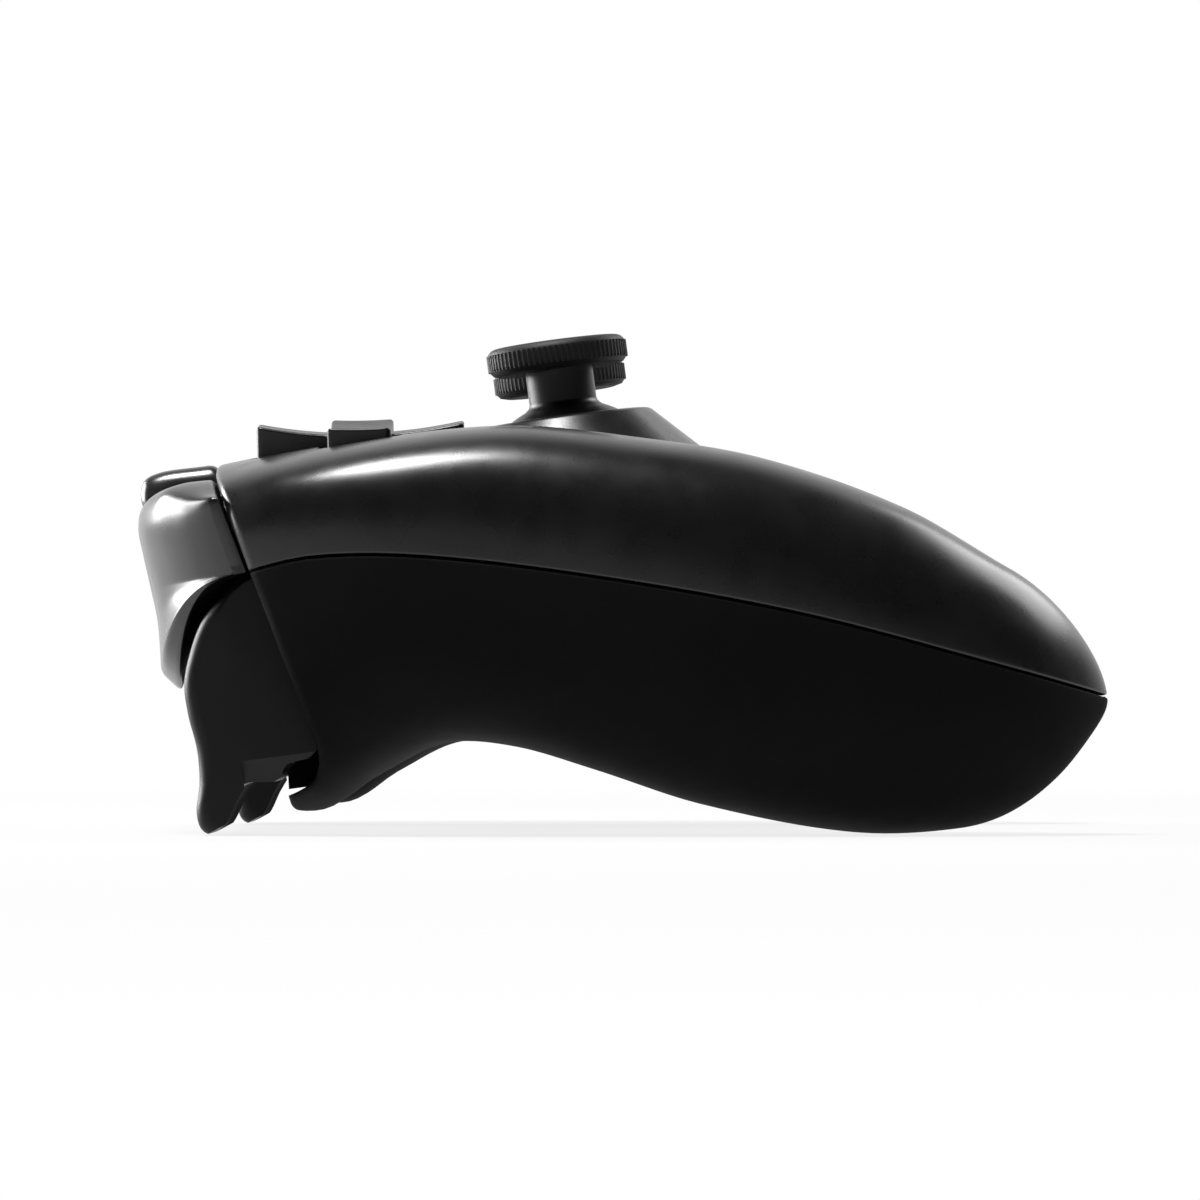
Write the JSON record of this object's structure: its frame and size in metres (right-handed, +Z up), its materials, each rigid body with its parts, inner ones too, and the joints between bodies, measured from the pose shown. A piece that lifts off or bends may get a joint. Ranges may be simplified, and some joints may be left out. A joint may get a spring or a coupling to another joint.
{
  "type": "gamepad controller",
  "caption": "Two-handed gamepad controller with thumb sticks, a direction pad, face buttons, bumpers and pivoting triggers in a moulded two-shell housing.",
  "frame": {"origin": "centre of the footprint at table level, with the pad standing on its grips and trigger tips", "axes": "+X is the player's right, +Y is forward out of the triggers, +Z is up"},
  "size_m": [0.1502, 0.1152, 0.0596],
  "materials": {
    "shell_black": "fine satin moulded texture",
    "back_black": "matte moulded texture",
    "gloss_trim": "glossy moulded trim",
    "bumper_black": "semi-gloss moulded plastic",
    "trigger_black": "satin moulded plastic",
    "key_black": "satin moulded plastic",
    "home_grey": "glossy moulded plastic",
    "inner_plastic": "plain moulded plastic",
    "board_green": "coated laminate",
    "battery_foil": "foil pouch",
    "steel": "plated steel",
    "membrane_rubber": "silicone sheet",
    "light_pipe": "clear diffusing plastic",
    "stem_plastic": "smooth moulded plastic",
    "cap_rubber": "matte rubber with a knurled edge"
  },
  "bodies": {
    "housing": {"front_shell": "shell_black", "back_shell": "back_black", "front_bridge": "gloss_trim", "inner_frame": "inner_plastic", "main_board": "board_green", "button_board": "board_green", "battery": "battery_foil", "usb_port": "steel", "edge_switches": "inner_plastic", "bumper_switches": "inner_plastic", "left_stick_module": "inner_plastic", "right_stick_module": "inner_plastic", "dpad_membrane": "membrane_rubber", "button_membrane": "membrane_rubber", "center_membrane": "membrane_rubber", "left_motor": "steel", "right_motor": "steel", "player_lights": "light_pipe", "shell_screws": "steel", "board_screws": "steel", "trigger_pins": "steel", "left_trigger_spring": "steel", "right_trigger_spring": "steel"},
    "left_bumper": {"left_bumper": "bumper_black"},
    "left_trigger": {"left_trigger": "trigger_black", "left_trigger_magnet": "steel"},
    "left_stick_carriage": {"left_stick_carriage": "inner_plastic"},
    "left_stick_cradle": {"left_stick_cradle": "inner_plastic"},
    "left_stick": {"left_stick_shaft": "inner_plastic", "left_stick_stem": "stem_plastic", "left_stick_cap": "cap_rubber"},
    "left_weight": {"left_weight": "steel"},
    "right_bumper": {"right_bumper": "bumper_black"},
    "right_trigger": {"right_trigger": "trigger_black", "right_trigger_magnet": "steel"},
    "right_stick_carriage": {"right_stick_carriage": "inner_plastic"},
    "right_stick_cradle": {"right_stick_cradle": "inner_plastic"},
    "right_stick": {"right_stick_shaft": "inner_plastic", "right_stick_stem": "stem_plastic", "right_stick_cap": "cap_rubber"},
    "right_weight": {"right_weight": "steel"},
    "dpad_ball": {"dpad_ball": "steel"},
    "dpad": {"dpad": "key_black"},
    "button_north": {"button_north": "key_black"},
    "button_south": {"button_south": "key_black"},
    "button_east": {"button_east": "key_black"},
    "button_west": {"button_west": "key_black"},
    "home_button": {"home_button": "home_grey"},
    "back_button": {"back_button": "key_black"},
    "start_button": {"start_button": "key_black"},
    "power_switch": {"power_switch": "key_black"},
    "pairing_button": {"pairing_button": "key_black"}
  },
  "joints": [
    {"name": "left_bumper_press", "type": "hinge", "parent": "housing", "child": "left_bumper", "pos_m": [-0.045, 0.04729, 0.0358], "axis": [-1, 0, 0], "range_deg": [0, 2], "stiffness_Nm_per_rad": 0.3, "springref_deg": -2.86},
    {"name": "left_trigger_pull", "type": "hinge", "parent": "housing", "child": "left_trigger", "pos_m": [-0.0528, 0.03797, 0.02704], "axis": [-1, 0, 0], "range_deg": [0, 11], "stiffness_Nm_per_rad": 0.06, "springref_deg": -11.46, "deforming": ["left_trigger_spring"]},
    {"name": "right_bumper_press", "type": "hinge", "parent": "housing", "child": "right_bumper", "pos_m": [0.045, 0.04729, 0.0358], "axis": [-1, 0, 0], "range_deg": [0, 2], "stiffness_Nm_per_rad": 0.3, "springref_deg": -2.86},
    {"name": "right_trigger_pull", "type": "hinge", "parent": "housing", "child": "right_trigger", "pos_m": [0.0528, 0.03797, 0.02704], "axis": [-1, 0, 0], "range_deg": [0, 11], "stiffness_Nm_per_rad": 0.06, "springref_deg": -11.46, "deforming": ["right_trigger_spring"]},
    {"name": "dpad_fore_aft", "type": "hinge", "parent": "housing", "child": "dpad_ball", "pos_m": [-0.046, 0.02996, 0.03899], "axis": [1, 0, 0], "range_deg": [-4.5, 4.5], "stiffness_Nm_per_rad": 0.1, "deforming": ["dpad_membrane"]},
    {"name": "dpad_left_right", "type": "hinge", "parent": "dpad_ball", "child": "dpad", "pos_m": [-0.046, 0.02996, 0.03899], "axis": [0, 0.9914, -0.1305], "range_deg": [-4.5, 4.5], "stiffness_Nm_per_rad": 0.1, "deforming": ["dpad_membrane"]},
    {"name": "button_north_press", "type": "slide", "parent": "housing", "child": "button_north", "axis": [0, -0.1305, -0.9914], "range_m": [0, 0.0015], "stiffness_N_per_m": 600, "springref_m": -0.001, "deforming": ["button_membrane"]},
    {"name": "button_south_press", "type": "slide", "parent": "housing", "child": "button_south", "axis": [0, -0.1305, -0.9914], "range_m": [0, 0.0015], "stiffness_N_per_m": 600, "springref_m": -0.001, "deforming": ["button_membrane"]},
    {"name": "button_east_press", "type": "slide", "parent": "housing", "child": "button_east", "axis": [0, -0.1305, -0.9914], "range_m": [0, 0.0015], "stiffness_N_per_m": 600, "springref_m": -0.001, "deforming": ["button_membrane"]},
    {"name": "button_west_press", "type": "slide", "parent": "housing", "child": "button_west", "axis": [0, -0.1305, -0.9914], "range_m": [0, 0.0015], "stiffness_N_per_m": 600, "springref_m": -0.001, "deforming": ["button_membrane"]},
    {"name": "home_press", "type": "slide", "parent": "housing", "child": "home_button", "axis": [0, -0.1305, -0.9914], "range_m": [0, 0.0006], "stiffness_N_per_m": 900, "springref_m": -0.0008, "deforming": ["center_membrane"]},
    {"name": "back_press", "type": "slide", "parent": "housing", "child": "back_button", "axis": [0, -0.1305, -0.9914], "range_m": [0, 0.0006], "stiffness_N_per_m": 900, "springref_m": -0.0008, "deforming": ["center_membrane"]},
    {"name": "start_press", "type": "slide", "parent": "housing", "child": "start_button", "axis": [0, -0.1305, -0.9914], "range_m": [0, 0.0006], "stiffness_N_per_m": 900, "springref_m": -0.0008, "deforming": ["center_membrane"]},
    {"name": "power_slide", "type": "slide", "parent": "housing", "child": "power_switch", "axis": [1, 0, 0], "range_m": [0, 0.002]},
    {"name": "pairing_press", "type": "slide", "parent": "housing", "child": "pairing_button", "axis": [0, -0.9914, 0.1305], "range_m": [0, 0.0004], "stiffness_N_per_m": 1500, "springref_m": -0.0004},
    {"name": "left_stick_click", "type": "slide", "parent": "housing", "child": "left_stick_carriage", "axis": [0, -0.1305, -0.9914], "range_m": [0, 0.0004], "stiffness_N_per_m": 3000, "springref_m": -0.0007},
    {"name": "left_stick_fore_aft", "type": "hinge", "parent": "left_stick_carriage", "child": "left_stick_cradle", "pos_m": [-0.032, 0.00471, 0.03949], "axis": [1, 0, 0], "range_deg": [-15, 15], "stiffness_Nm_per_rad": 0.03},
    {"name": "left_stick_left_right", "type": "hinge", "parent": "left_stick_cradle", "child": "left_stick", "pos_m": [-0.032, 0.00471, 0.03949], "axis": [0, 0.9914, -0.1305], "range_deg": [-15, 15], "stiffness_Nm_per_rad": 0.03},
    {"name": "left_weight_spin", "type": "hinge", "parent": "housing", "child": "left_weight", "pos_m": [-0.0545, -0.02739, 0.01709], "axis": [0, 0.9914, -0.1305], "continuous": true},
    {"name": "right_stick_click", "type": "slide", "parent": "housing", "child": "right_stick_carriage", "axis": [0, -0.1305, -0.9914], "range_m": [0, 0.0004], "stiffness_N_per_m": 3000, "springref_m": -0.0007},
    {"name": "right_stick_fore_aft", "type": "hinge", "parent": "right_stick_carriage", "child": "right_stick_cradle", "pos_m": [0.032, 0.00471, 0.03949], "axis": [1, 0, 0], "range_deg": [-15, 15], "stiffness_Nm_per_rad": 0.03},
    {"name": "right_stick_left_right", "type": "hinge", "parent": "right_stick_cradle", "child": "right_stick", "pos_m": [0.032, 0.00471, 0.03949], "axis": [0, 0.9914, -0.1305], "range_deg": [-15, 15], "stiffness_Nm_per_rad": 0.03},
    {"name": "right_weight_spin", "type": "hinge", "parent": "housing", "child": "right_weight", "pos_m": [0.0545, -0.02739, 0.01709], "axis": [0, 0.9914, -0.1305], "continuous": true}
  ]
}
